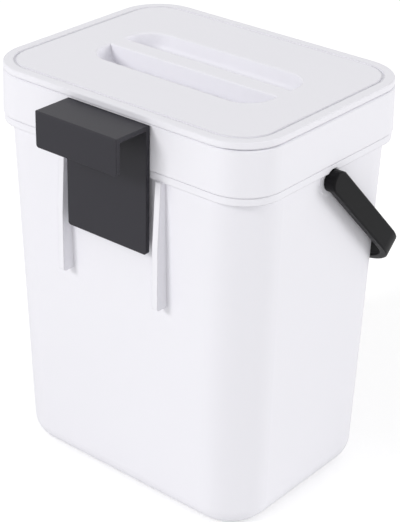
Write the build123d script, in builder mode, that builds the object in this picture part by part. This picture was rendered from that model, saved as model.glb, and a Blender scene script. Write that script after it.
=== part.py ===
from build123d import *
import os
from math import acos, atan2, cos, degrees, hypot, radians, sin, sqrt, tan

# A hanging compost caddy, in millimetres. +Z is up and the origin is the centre of the base.
# The door hanger is on the -Y wall, the bail turns on the X walls and its grip rests on the +Y wall.

quarter_turn = 90.0  # degrees
seat_gap = 0.1  # between flat faces, where one piece rests on another

# Pail: a tapered tub with a ledge, a neck above it, two ribs and a guide for the hanger
base_width = 168.5  # along X, at the floor
base_depth = 123.1  # along Y, at the floor
base_corner = 25.9  # corner radius in plan, at the floor
shoulder_corner = 27.3  # and under the ledge
base_round = 13.5  # rounding under the floor
base_part = 16.0  # height of the lower part of the wall, which takes the rounding
pail_draft = 1.5  # degrees, each wall leans out
pail_wall = 2.0
pail_floor = 2.4
shoulder_z = 204.6  # underside of the ledge
ledge_height = 4.1
ledge_inset = 0.6  # the ledge stands back from the band
neck_gap = 0.4  # from the neck to the ring's skirt
rim_gap = 0.3  # from the neck's rim to the web over it

# Bag ring: a skirt outside the neck, a web over it and a lip inside it
band_overhang = 2.75  # the skirt's foot stands out from the pail's wall
band_corner = 24.0
band_draft = 1.5  # degrees, the skirt leans in
ring_height = 25.2
ring_chamfer = 0.7  # along its top and bottom edges
skirt_wall = 2.2
ring_web = 2.2
lip_wall = 1.8
lip_depth = 14.0
bag_gap = 0.6  # for the bag, between the neck and the lip

# Lid
lid_overhang = 1.4  # the lid's edge stands out from the ring's top, at the front and back
lid_side_overhang = 0.1  # and at the sides
lid_corner = 26.5
lid_edge = 3.6  # height of the edge
lid_reveal = 0.8  # shadow gap under the edge
lid_chamfer = 0.5
lid_panel = 2.4
seat_inset = 1.2  # from the ring's top outline to the lid's seat
seat_wall = 1.8
plug_wall = 1.8
plug_depth = 8.0
plug_gap = 0.4
bead_inset = 5.6  # from the lid's outline to the line round the panel
bead_width = 1.6
bead_depth = 0.8

# Grip: a rounded recess in the lid, crossed by a bar to pinch
grip_length = 116.0
grip_width = 52.6
grip_corner = 16.0
grip_depth = 11.0
grip_draft = 9.0
grip_wall = 2.2
grip_round = 5.5  # where the recess walls meet its floor
mouth_chamfer = 0.7
bar_width = 11.2

# Ribs
rib_gap = 4.2  # from the hanger's side to a rib
rib_width = 3.8
rib_length = 73.1  # below the ledge
rib_lean = 36.6  # the upper part of the crest, which leans back to the ledge
rib_crest = 5.7  # stands out from the pail's wall under the ledge
rib_top_crest = 3.5
rib_round = 1.5

# Bail: a channel section that opens inwards, with straight arms and elliptical corners
pivot_drop = 5.0  # from the ledge down to the pivots
swing_gap = 1.9  # from the bail's grip to the hanger's corner, as it passes over
arm_gap = 0.4  # from the arms to the bag ring and the lid
rest_gap = 2.2  # from the grip to the pail, at rest
bail_width = 12.4
bail_depth = 4.4
bail_web = 2.0
bail_flange = 1.8
bail_chamfer = 0.6
corner_across = 53.0
corner_along = 36.0

# Pivots
ear_margin = 2.2  # the ears stand out round the hubs
ear_height = 0.6  # proud of the wall
hub_gap = 0.3
pin_radius = 3.5
pin_fit = 0.08  # radial clearance
pin_length = 3.6
pin_end_gap = 0.3
socket_wall = 2.0
notch_gap = 0.5  # round the hub, where it passes the ledge

# Door hanger: a plate that turns out over the door and down behind it
hanger_width = 55.4
hanger_thickness = 2.6
hanger_length = 72.0
hanger_back_gap = 0.35  # from the ring's skirt to the plate
door_gap = 19.5
hook_drop = 20.0
bend_round = 0.6
bend_inner_round = 0.4
hanger_corner = 1.6

# Guide: two L rails and a stop on the pail hold the T tongue on the back of the hanger
tongue_drop = 7.6  # from the ledge down to the tongue
tongue_height = 28.0
tongue_stem = 14.0
tongue_width = 29.0
tongue_thickness = 1.4
slide_gap = 0.3
rail_extra = 3.0  # the rails reach below the tongue
rail_lip = 1.4
rail_wall = 2.6
stop_height = 2.6

# Heights
ledge_top = shoulder_z + ledge_height
band_z = ledge_top + seat_gap
ring_top = band_z + ring_height
web_z = ring_top - ring_web
rim_z = web_z - rim_gap
lip_z = ring_top - lip_depth
seam_z = ring_top + seat_gap
edge_z = seam_z + lid_reveal
lid_top = edge_z + lid_edge
panel_z = lid_top - lid_panel
plug_z = seam_z - plug_depth
pivot_z = shoulder_z - pivot_drop

# Insets from the neck's outline
lip_inset = pail_wall + bag_gap
plug_inset = lip_inset + lip_wall + plug_gap

# Sideways run of the drafted walls for each unit of height
wall_slope = tan(radians(pail_draft))
band_slope = tan(radians(band_draft))


def pail_outline(z, inset):
    """Width, depth and corner radius of the pail at height z, moved in by inset."""
    out = z * wall_slope - inset
    corner = base_corner + (shoulder_corner - base_corner) * z / shoulder_z
    return base_width + 2 * out, base_depth + 2 * out, corner - inset


def band_outline(z, inset):
    """Width, depth and corner radius of the ring's skirt at height z, moved in by inset."""
    width, depth, _ = pail_outline(shoulder_z, inset - band_overhang)
    lean = (z - band_z) * band_slope
    return width - 2 * lean, depth - 2 * lean, band_corner - lean - inset


def neck_outline(inset):
    """Width, depth and corner radius of the neck, which clears the ring's skirt, moved in by inset."""
    width, depth, _ = band_outline(rim_z, skirt_wall + neck_gap + inset)
    return width, depth, band_corner - inset


def lid_outline(inset):
    """Width, depth and corner radius of the lid's edge, moved in by inset."""
    width, depth, _ = band_outline(ring_top, inset)
    return width + 2 * lid_side_overhang, depth + 2 * lid_overhang, lid_corner - inset


# Door hanger, outwards from the foot of the ring's skirt
plate_back = band_outline(band_z, 0)[1] / 2 + hanger_back_gap
plate_front = plate_back + hanger_thickness
hook_inner = plate_front + door_gap
hook_outer = hook_inner + hanger_thickness
hanger_foot_z = ring_top - hanger_length

# Guide, inwards from the plate
lip_face = plate_back - slide_gap
lip_back = lip_face - rail_lip
tongue_front = lip_back - slide_gap
tongue_back = tongue_front - tongue_thickness
guide_floor = tongue_back - slide_gap
tongue_top_z = shoulder_z - tongue_drop
stop_z = tongue_top_z + slide_gap
rail_foot_z = tongue_top_z - tongue_height - rail_extra

# Pivots, inwards from the ear
ear_x = pail_outline(pivot_z, 0)[0] / 2 + ear_height
ear_radius = bail_width / 2 + ear_margin
pin_tip_x = ear_x - pin_length
socket_x = pin_tip_x - pin_end_gap
hub_x = ear_x + hub_gap

# Bail: it clears the hanger as it swings, and at rest its grip stops short of the pail's wall
widest = max(band_outline(band_z, 0)[0], lid_outline(0)[0])
bail_span = widest + 2 * (arm_gap + bail_depth)
grip_reach = hypot(hook_outer, ring_top - pivot_z) + swing_gap
bail_reach = grip_reach + bail_depth
along_wall = grip_reach + bail_width / 2 * wall_slope
across_wall = grip_reach * wall_slope - bail_width / 2
rest_line = pail_outline(pivot_z, 0)[1] / 2 + rest_gap
bail_tilt = degrees(atan2(across_wall, along_wall) + acos(rest_line / hypot(along_wall, across_wall)))


def bail_face(inset):
    """The bail's outline seen square on, from the pivots' line at y = 0 to the grip, moved in by inset."""
    half = bail_span / 2 - inset
    reach = bail_reach - inset
    across = corner_across - inset
    along = corner_along - inset
    with BuildSketch() as face:
        with BuildLine():
            Line((-half, 0), (half, 0))
            Line((half, 0), (half, reach - along))
            EllipticalCenterArc(
                (half - across, reach - along), across, along, start_angle=0, arc_size=quarter_turn
            )
            Line((half - across, reach), (across - half, reach))
            EllipticalCenterArc(
                (across - half, reach - along), across, along, start_angle=quarter_turn, arc_size=quarter_turn
            )
            Line((-half, reach - along), (-half, 0))
        make_face()
    return face.sketch


def outside_of_bail(edge):
    """True for an edge along the outside of the arms or of the grip."""
    middle = edge.center()
    return abs(middle.X) > bail_span / 2 - bail_chamfer or middle.Y > bail_width


# ---------------------------------------------------------------- pail
with BuildPart() as pail_inside:
    with BuildSketch(Plane.XY.offset(base_part)):
        RectangleRounded(*pail_outline(base_part, pail_wall))
    extrude(amount=pail_floor - base_part, taper=pail_draft)
    # A chamfer this long leaves the wall its thickness inside the rounding
    chamfer(pail_inside.edges().group_by(Axis.Z)[0], (2 - sqrt(2)) * base_round)
    for z in (base_part, shoulder_z):
        with BuildSketch(Plane.XY.offset(z)):
            RectangleRounded(*pail_outline(z, pail_wall))
    loft()
    with BuildSketch(Plane.XY.offset(shoulder_z)):
        RectangleRounded(*neck_outline(pail_wall))
    extrude(amount=rim_z - shoulder_z)

with BuildPart() as pail:
    with BuildSketch(Plane.XY.offset(base_part)):
        RectangleRounded(*pail_outline(base_part, 0))
    extrude(amount=-base_part, taper=pail_draft)
    fillet(pail.edges().group_by(Axis.Z)[0], base_round)
    for z in (base_part, shoulder_z):
        with BuildSketch(Plane.XY.offset(z)):
            RectangleRounded(*pail_outline(z, 0))
    loft()

    # Ledge under the band, and the neck inside it
    with BuildSketch(Plane.XY.offset(shoulder_z)):
        RectangleRounded(*band_outline(band_z, ledge_inset))
    extrude(amount=ledge_height)
    with BuildSketch(Plane.XY.offset(shoulder_z)):
        RectangleRounded(*neck_outline(0))
    extrude(amount=rim_z - shoulder_z)

    # Two upright ribs, one each side of the hanger
    rib_root = base_depth / 2
    wall_top = pail_outline(shoulder_z, 0)[1] / 2
    for side in (-1, 1):
        rib_middle = side * (hanger_width / 2 + rib_gap + rib_width / 2)
        with BuildSketch(Plane.YZ.offset(rib_middle)) as rib_side:
            with BuildLine():
                Polyline(
                    (-rib_root, shoulder_z - rib_length),
                    (-wall_top - rib_crest, shoulder_z - rib_length),
                    (-wall_top - rib_crest, shoulder_z - rib_lean),
                    (-wall_top - rib_top_crest, shoulder_z),
                    (-rib_root, shoulder_z),
                    close=True,
                )
            make_face()
            fillet(rib_side.vertices().group_by(Axis.Y)[0].sort_by(Axis.X)[0], rib_round)
        extrude(amount=rib_width / 2, both=True)

    # Guide for the hanger's tongue: a block with a T slot, closed by a stop at its top
    with BuildSketch(Plane.XY.offset(rail_foot_z)):
        with Locations((0, -(rib_root + lip_face) / 2)):
            Rectangle(tongue_width + 2 * (slide_gap + rail_wall), lip_face - rib_root)
    extrude(amount=stop_z + stop_height - rail_foot_z)

    # Ears that carry the bail's pivots
    for side in (-1, 1):
        with BuildSketch(Plane.YZ.offset(side * ear_x)):
            with Locations((0, pivot_z)):
                Circle(ear_radius)
        extrude(amount=-side * (ear_height + pail_wall / 2))

    add(pail_inside.part, mode=Mode.SUBTRACT)

    # The T slot, open at its foot
    with BuildSketch(Plane.XY.offset(rail_foot_z)):
        with Locations((0, -(guide_floor + lip_back) / 2)):
            Rectangle(tongue_width + 2 * slide_gap, lip_back - guide_floor)
        with Locations((0, -(lip_back + lip_face) / 2)):
            Rectangle(tongue_stem + 2 * slide_gap, lip_face - lip_back)
    extrude(amount=stop_z - rail_foot_z, mode=Mode.SUBTRACT)

    # Blind sockets for the bail's pins, and room for its hubs beside the ledge
    for side in (-1, 1):
        with BuildSketch(Plane.YZ.offset(side * (socket_x - socket_wall))):
            with Locations((0, pivot_z)):
                Circle(pin_radius + socket_wall)
        extrude(amount=side * (ear_x - ear_height - pail_wall / 2 - socket_x + socket_wall))
        with BuildSketch(Plane.YZ.offset(side * socket_x)):
            with Locations((0, pivot_z)):
                Circle(pin_radius + pin_fit)
        extrude(amount=side * (ear_x - socket_x), mode=Mode.SUBTRACT)
        with BuildSketch(Plane.YZ.offset(side * ear_x)):
            with Locations((0, pivot_z)):
                Circle(bail_width / 2 + notch_gap)
        extrude(amount=side * (bail_span / 2 - ear_x), mode=Mode.SUBTRACT)

# ---------------------------------------------------------------- bag ring
with BuildPart() as bag_ring:
    with BuildSketch(Plane.XY.offset(band_z)):
        RectangleRounded(*band_outline(band_z, 0))
    extrude(amount=ring_height, taper=band_draft)
    chamfer(bag_ring.edges().group_by(Axis.Z)[0], ring_chamfer)
    chamfer(bag_ring.edges().group_by(Axis.Z)[-1], ring_chamfer)
    with BuildSketch(Plane.XY.offset(band_z)):
        RectangleRounded(*band_outline(band_z, skirt_wall))
    extrude(amount=web_z - band_z, taper=band_draft, mode=Mode.SUBTRACT)
    with BuildSketch(Plane.XY.offset(lip_z)):
        RectangleRounded(*neck_outline(lip_inset))
    extrude(amount=ring_top - lip_z)
    with BuildSketch(Plane.XY.offset(lip_z)):
        RectangleRounded(*neck_outline(lip_inset + lip_wall))
    extrude(amount=ring_top - lip_z, mode=Mode.SUBTRACT)

# ---------------------------------------------------------------- lid
with BuildPart() as grip_recess:
    with BuildSketch(Plane.XY.offset(lid_top)):
        RectangleRounded(grip_length, grip_width, grip_corner)
    extrude(amount=-grip_depth, taper=grip_draft)
    fillet(grip_recess.edges().group_by(Axis.Z)[0], grip_round)

    # The bar is what is left between the two halves of the recess
    with BuildSketch(Plane.XY.offset(lid_top)):
        Rectangle(grip_length, bar_width)
    extrude(amount=-grip_depth, mode=Mode.SUBTRACT)

with BuildPart() as grip_shell:
    with BuildSketch(Plane.XY.offset(lid_top)):
        RectangleRounded(grip_length + 2 * grip_wall, grip_width + 2 * grip_wall, grip_corner + grip_wall)
    extrude(amount=-(grip_depth + grip_wall), taper=grip_draft)
    with BuildSketch(Plane.XY.offset(panel_z)):
        Rectangle(grip_length - 2 * grip_wall, bar_width - 2 * grip_wall)
    extrude(amount=lid_top - grip_depth - grip_wall - panel_z, mode=Mode.SUBTRACT)

with BuildPart() as lid:
    with BuildSketch(Plane.XY.offset(seam_z)):
        RectangleRounded(*band_outline(ring_top, seat_inset))
    extrude(amount=lid_reveal)
    with BuildSketch(Plane.XY.offset(edge_z)):
        RectangleRounded(*lid_outline(0))
    extrude(amount=lid_edge)
    chamfer(lid.edges().group_by(Axis.Z)[-1], lid_chamfer)
    with BuildSketch(Plane.XY.offset(seam_z)):
        RectangleRounded(*band_outline(ring_top, seat_inset + seat_wall))
    extrude(amount=panel_z - seam_z, mode=Mode.SUBTRACT)
    with BuildSketch(Plane.XY.offset(plug_z)):
        RectangleRounded(*neck_outline(plug_inset))
        RectangleRounded(*neck_outline(plug_inset + plug_wall), mode=Mode.SUBTRACT)
    extrude(amount=panel_z - plug_z)
    add(grip_shell.part)
    add(grip_recess.part, mode=Mode.SUBTRACT)
    mouth_wires = lid.faces().sort_by(Axis.Z)[-1].inner_wires()
    chamfer([edge for wire in mouth_wires for edge in wire.edges()], mouth_chamfer)

    # Line pressed into the panel
    with BuildSketch(Plane.XY.offset(lid_top)):
        RectangleRounded(*lid_outline(bead_inset))
        RectangleRounded(*lid_outline(bead_inset + bead_width), mode=Mode.SUBTRACT)
    extrude(amount=-bead_depth, mode=Mode.SUBTRACT)

# ---------------------------------------------------------------- bail
bail_plane = Plane(
    origin=(0, 0, pivot_z),
    x_dir=(1, 0, 0),
    z_dir=(0, sin(radians(bail_tilt)), cos(radians(bail_tilt))),
)

with BuildPart() as bail:
    with BuildSketch(bail_plane):
        add(bail_face(0))
    extrude(amount=bail_width / 2, both=True)
    for side in (-1, 1):
        with BuildSketch(Plane.YZ.offset(side * (bail_span / 2 - bail_depth))):
            with Locations((0, pivot_z)):
                Circle(bail_width / 2)
        extrude(amount=side * bail_depth)
    chamfer(bail.edges().filter_by(outside_of_bail), bail_chamfer)

    # Hollow it, then open the section inwards into a channel
    with BuildSketch(bail_plane):
        add(bail_face(bail_depth))
    extrude(amount=bail_width / 2, both=True, mode=Mode.SUBTRACT)
    with BuildSketch(bail_plane):
        add(bail_face(bail_web))
        add(bail_face(bail_depth), mode=Mode.SUBTRACT)
    extrude(amount=bail_width / 2 - bail_flange, both=True, mode=Mode.SUBTRACT)

    # Hubs against the ears, with the pins that turn in the sockets
    for side in (-1, 1):
        with BuildSketch(Plane.YZ.offset(side * hub_x)):
            with Locations((0, pivot_z)):
                Circle(bail_width / 2)
        extrude(amount=side * (bail_span / 2 - bail_web - hub_x))
        with BuildSketch(Plane.YZ.offset(side * pin_tip_x)):
            with Locations((0, pivot_z)):
                Circle(pin_radius)
        extrude(amount=side * (hub_x - pin_tip_x))

# ---------------------------------------------------------------- door hanger
with BuildPart() as door_hanger:
    with BuildSketch(Plane.YZ) as hanger_side:
        with BuildLine():
            Polyline(
                (-plate_front, hanger_foot_z),
                (-plate_front, ring_top - hanger_thickness),
                (-hook_inner, ring_top - hanger_thickness),
                (-hook_inner, ring_top - hook_drop),
                (-hook_outer, ring_top - hook_drop),
                (-hook_outer, ring_top),
                (-plate_back, ring_top),
                (-plate_back, hanger_foot_z),
                close=True,
            )
        make_face()
        fillet(hanger_side.vertices().group_by(Axis.Y)[-1], bend_round)
        fillet(hanger_side.vertices().sort_by(Axis.Y)[4:6], bend_inner_round)
    extrude(amount=hanger_width / 2, both=True)
    fillet(door_hanger.edges().filter_by(Axis.Y).sort_by(Axis.Z)[:4], hanger_corner)

    # T tongue on the plate's back
    tongue_middle = tongue_top_z - tongue_height / 2
    with BuildSketch(Plane.XZ.offset(tongue_back)):
        with Locations((0, tongue_middle)):
            Rectangle(tongue_width, tongue_height)
    extrude(amount=tongue_thickness)
    with BuildSketch(Plane.XZ.offset(tongue_front)):
        with Locations((0, tongue_middle)):
            Rectangle(tongue_stem, tongue_height)
    extrude(amount=plate_back - tongue_front)

pieces = {"pail": pail, "bag_ring": bag_ring, "lid": lid, "bail": bail, "door_hanger": door_hanger}
os.makedirs("parts", exist_ok=True)
for name, piece in pieces.items():
    piece.part.label = name
    export_step(piece.part, f"parts/{name}.step")
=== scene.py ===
import math

import bpy
from mathutils import Matrix, Vector

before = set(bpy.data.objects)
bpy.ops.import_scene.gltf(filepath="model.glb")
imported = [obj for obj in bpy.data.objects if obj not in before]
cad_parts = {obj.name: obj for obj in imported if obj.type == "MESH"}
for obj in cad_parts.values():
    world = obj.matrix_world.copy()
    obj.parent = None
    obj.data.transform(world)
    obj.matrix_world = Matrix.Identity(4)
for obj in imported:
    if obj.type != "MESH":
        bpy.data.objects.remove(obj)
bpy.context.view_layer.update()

# ---------------------------------------------------------------- the photograph's view
PICTURE_WIDTH = 400
PICTURE_HEIGHT = 522
FOCAL_PIXELS = 1611.0
PRINCIPAL_X = 192.7
PRINCIPAL_Y = 260.0
SENSOR_MM = 36.0
CAMERA_TURN = math.radians(39.64)
CAMERA_TILT = math.radians(27.71)
CAMERA_ROLL = math.radians(1.0)
CAMERA_DISTANCE = 0.9162
CLIP_START = 0.05
CLIP_END = 20.0
LOOK_HEIGHT = 0.120
AIM_RIGHT = -0.0008
AIM_UP = 0.0011


def add_camera():
    """The camera stands where the photograph's did; its shift only places the picture's centre."""
    back = Vector((
        math.sin(CAMERA_TURN) * math.cos(CAMERA_TILT),
        -math.cos(CAMERA_TURN) * math.cos(CAMERA_TILT),
        math.sin(CAMERA_TILT),
    ))
    right = Vector((math.cos(CAMERA_TURN), math.sin(CAMERA_TURN), 0.0))
    up = back.cross(right)
    aim = Vector((0.0, 0.0, LOOK_HEIGHT))
    place = aim + back * CAMERA_DISTANCE + right * AIM_RIGHT + up * AIM_UP
    rolled_right = right * math.cos(CAMERA_ROLL) + up * math.sin(CAMERA_ROLL)
    rolled_up = up * math.cos(CAMERA_ROLL) - right * math.sin(CAMERA_ROLL)

    data = bpy.data.cameras.new("camera")
    data.sensor_width = SENSOR_MM
    data.lens = FOCAL_PIXELS * SENSOR_MM / PICTURE_HEIGHT
    data.shift_x = (PICTURE_WIDTH / 2 - PRINCIPAL_X) / PICTURE_HEIGHT
    data.shift_y = (PRINCIPAL_Y - PICTURE_HEIGHT / 2) / PICTURE_HEIGHT
    data.clip_start = CLIP_START
    data.clip_end = CLIP_END
    camera = bpy.data.objects.new("camera", data)
    camera.matrix_world = Matrix((
        (rolled_right.x, rolled_up.x, back.x, place.x),
        (rolled_right.y, rolled_up.y, back.y, place.y),
        (rolled_right.z, rolled_up.z, back.z, place.z),
        (0.0, 0.0, 0.0, 1.0),
    ))
    bpy.context.scene.collection.objects.link(camera)
    bpy.context.scene.camera = camera


# ---------------------------------------------------------------- materials
EDGE_ROUND = 0.0008  # shaded rounding of the moulded edges
EDGE_SAMPLES = 6
FLOW_SCALE = 9.0
FLOW_DETAIL = 3.0
GRAIN_DETAIL = 4.0
GRAIN_ROUGHNESS = 0.6
GLOSS_SPREAD = 0.05
BUMP_STRENGTH = 0.35

PLASTICS = {
    "white_plastic": {
        "low_colour": (0.822, 0.815, 0.860),
        "high_colour": (0.834, 0.827, 0.871),
        "roughness": 0.42,
        "grain_scale": 2600.0,
        "grain_height": 0.00003,
        "specular": 0.4,
        "nodes": ("pail", "bag_ring", "lid"),
    },
    "charcoal_plastic": {
        "low_colour": (0.0215, 0.0205, 0.0275),
        "high_colour": (0.0265, 0.0255, 0.0325),
        "roughness": 0.45,
        "grain_scale": 2200.0,
        "grain_height": 0.00004,
        "specular": 0.3,
        "nodes": ("door_hanger",),
    },
    "black_plastic": {
        "low_colour": (0.006, 0.006, 0.007),
        "high_colour": (0.008, 0.008, 0.009),
        "roughness": 0.42,
        "grain_scale": 2200.0,
        "grain_height": 0.00002,
        "specular": 0.1,
        "nodes": ("bail",),
    },
}


def moulded_plastic(name, look):
    """Moulded plastic: a fine eroded grain, faint flow shading in the colour and uneven gloss."""
    material = bpy.data.materials.new(name)
    material.use_nodes = True
    nodes = material.node_tree.nodes
    links = material.node_tree.links
    shader = nodes["Principled BSDF"]
    shader.inputs["Specular IOR Level"].default_value = look["specular"]
    place = nodes.new("ShaderNodeTexCoord")

    flow = nodes.new("ShaderNodeTexNoise")
    flow.inputs["Scale"].default_value = FLOW_SCALE
    flow.inputs["Detail"].default_value = FLOW_DETAIL
    links.new(place.outputs["Object"], flow.inputs["Vector"])
    colour = nodes.new("ShaderNodeMix")
    colour.data_type = "RGBA"
    colour.inputs["A"].default_value = (*look["low_colour"], 1.0)
    colour.inputs["B"].default_value = (*look["high_colour"], 1.0)
    links.new(flow.outputs["Fac"], colour.inputs["Factor"])
    links.new(colour.outputs["Result"], shader.inputs["Base Color"])

    grain = nodes.new("ShaderNodeTexNoise")
    grain.inputs["Scale"].default_value = look["grain_scale"]
    grain.inputs["Detail"].default_value = GRAIN_DETAIL
    grain.inputs["Roughness"].default_value = GRAIN_ROUGHNESS
    links.new(place.outputs["Object"], grain.inputs["Vector"])
    gloss = nodes.new("ShaderNodeMapRange")
    gloss.inputs["To Min"].default_value = look["roughness"] - GLOSS_SPREAD
    gloss.inputs["To Max"].default_value = look["roughness"] + GLOSS_SPREAD
    links.new(grain.outputs["Fac"], gloss.inputs["Value"])
    links.new(gloss.outputs["Result"], shader.inputs["Roughness"])
    bump = nodes.new("ShaderNodeBump")
    bump.inputs["Strength"].default_value = BUMP_STRENGTH
    bump.inputs["Distance"].default_value = look["grain_height"]
    links.new(grain.outputs["Fac"], bump.inputs["Height"])
    edge = nodes.new("ShaderNodeBevel")
    edge.samples = EDGE_SAMPLES
    edge.inputs["Radius"].default_value = EDGE_ROUND
    links.new(edge.outputs["Normal"], bump.inputs["Normal"])
    links.new(bump.outputs["Normal"], shader.inputs["Normal"])
    return material


def dress_caddy():
    """Gives each CAD piece its plastic."""
    for name, look in PLASTICS.items():
        material = moulded_plastic(name, look)
        for node in look["nodes"]:
            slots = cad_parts[node].data.materials
            slots.clear()
            slots.append(material)


# ---------------------------------------------------------------- floor, backdrop and light
FLOOR_SIZE = 6.0
FLOOR_DROP = 0.0002
FLOOR_COLOUR = (0.9, 0.9, 0.9, 1.0)
FLOOR_ROUGHNESS = 0.9
FLOOR_SPECULAR = 0.1
FLOOR_SEEN_GLOW = 0.30  # lifts the floor to near white for the camera only
WHITE = (1.0, 1.0, 1.0, 1.0)
SKY_LEVEL = 0.62
SKY_SEEN_LEVEL = 1.0
KEY_BEARING = math.radians(-107.0)  # plan angles are turned from +X towards +Y
KEY_RISE = math.radians(30.0)
KEY_DISTANCE = 4.0
KEY_SIZE = 1.1
KEY_POWER = 65.0
SIDE_BEARING = math.radians(30.0)
SIDE_RISE = math.radians(18.0)
SIDE_DISTANCE = 4.0
SIDE_SIZE = 2.0
SIDE_POWER = 60.0


def add_floor():
    """A pale floor that the camera sees as near white, with the caddy's shadow on it."""
    mesh = bpy.data.meshes.new("floor")
    half = FLOOR_SIZE / 2
    corners = [(-half, -half), (half, -half), (half, half), (-half, half)]
    mesh.from_pydata([(x, y, -FLOOR_DROP) for x, y in corners], [], [(0, 1, 2, 3)])
    floor = bpy.data.objects.new("floor", mesh)
    bpy.context.scene.collection.objects.link(floor)
    material = bpy.data.materials.new("floor")
    material.use_nodes = True
    nodes = material.node_tree.nodes
    links = material.node_tree.links
    shader = nodes["Principled BSDF"]
    shader.inputs["Base Color"].default_value = FLOOR_COLOUR
    shader.inputs["Roughness"].default_value = FLOOR_ROUGHNESS
    shader.inputs["Specular IOR Level"].default_value = FLOOR_SPECULAR
    path = nodes.new("ShaderNodeLightPath")
    seen = nodes.new("ShaderNodeMath")
    seen.operation = "MULTIPLY"
    seen.inputs[1].default_value = FLOOR_SEEN_GLOW
    links.new(path.outputs["Is Camera Ray"], seen.inputs[0])
    shader.inputs["Emission Color"].default_value = WHITE
    links.new(seen.outputs["Value"], shader.inputs["Emission Strength"])
    mesh.materials.append(material)


def add_world():
    """White where the camera, a reflection or clear plastic sees it; soft sky light otherwise."""
    world = bpy.data.worlds.new("studio")
    bpy.context.scene.world = world
    world.use_nodes = True
    nodes = world.node_tree.nodes
    links = world.node_tree.links
    background = nodes["Background"]
    background.inputs["Color"].default_value = WHITE
    path = nodes.new("ShaderNodeLightPath")
    seen = path.outputs["Is Camera Ray"]
    for way in ("Is Glossy Ray", "Is Transmission Ray"):
        either = nodes.new("ShaderNodeMath")
        either.operation = "MAXIMUM"
        links.new(seen, either.inputs[0])
        links.new(path.outputs[way], either.inputs[1])
        seen = either.outputs["Value"]
    strength = nodes.new("ShaderNodeMapRange")
    strength.inputs["To Min"].default_value = SKY_LEVEL
    strength.inputs["To Max"].default_value = SKY_SEEN_LEVEL
    links.new(seen, strength.inputs["Value"])
    links.new(strength.outputs["Result"], background.inputs["Strength"])


def add_softbox(name, bearing, rise, distance, size, power):
    """A square softbox that looks at the caddy's middle from a bearing, a rise and a distance."""
    aim = Vector((0.0, 0.0, LOOK_HEIGHT))
    outwards = Vector((
        math.cos(bearing) * math.cos(rise),
        math.sin(bearing) * math.cos(rise),
        math.sin(rise),
    ))
    data = bpy.data.lights.new(name, "AREA")
    data.shape = "SQUARE"
    data.size = size
    data.energy = power
    lamp = bpy.data.objects.new(name, data)
    lamp.location = aim + outwards * distance
    lamp.rotation_euler = outwards.to_track_quat("Z", "Y").to_euler()
    bpy.context.scene.collection.objects.link(lamp)


def add_studio():
    add_floor()
    add_world()
    add_softbox("key_front", KEY_BEARING, KEY_RISE, KEY_DISTANCE, KEY_SIZE, KEY_POWER)
    add_softbox("side_right", SIDE_BEARING, SIDE_RISE, SIDE_DISTANCE, SIDE_SIZE, SIDE_POWER)


dress_caddy()
add_studio()
add_camera()
bpy.context.scene.view_settings.view_transform = "Standard"
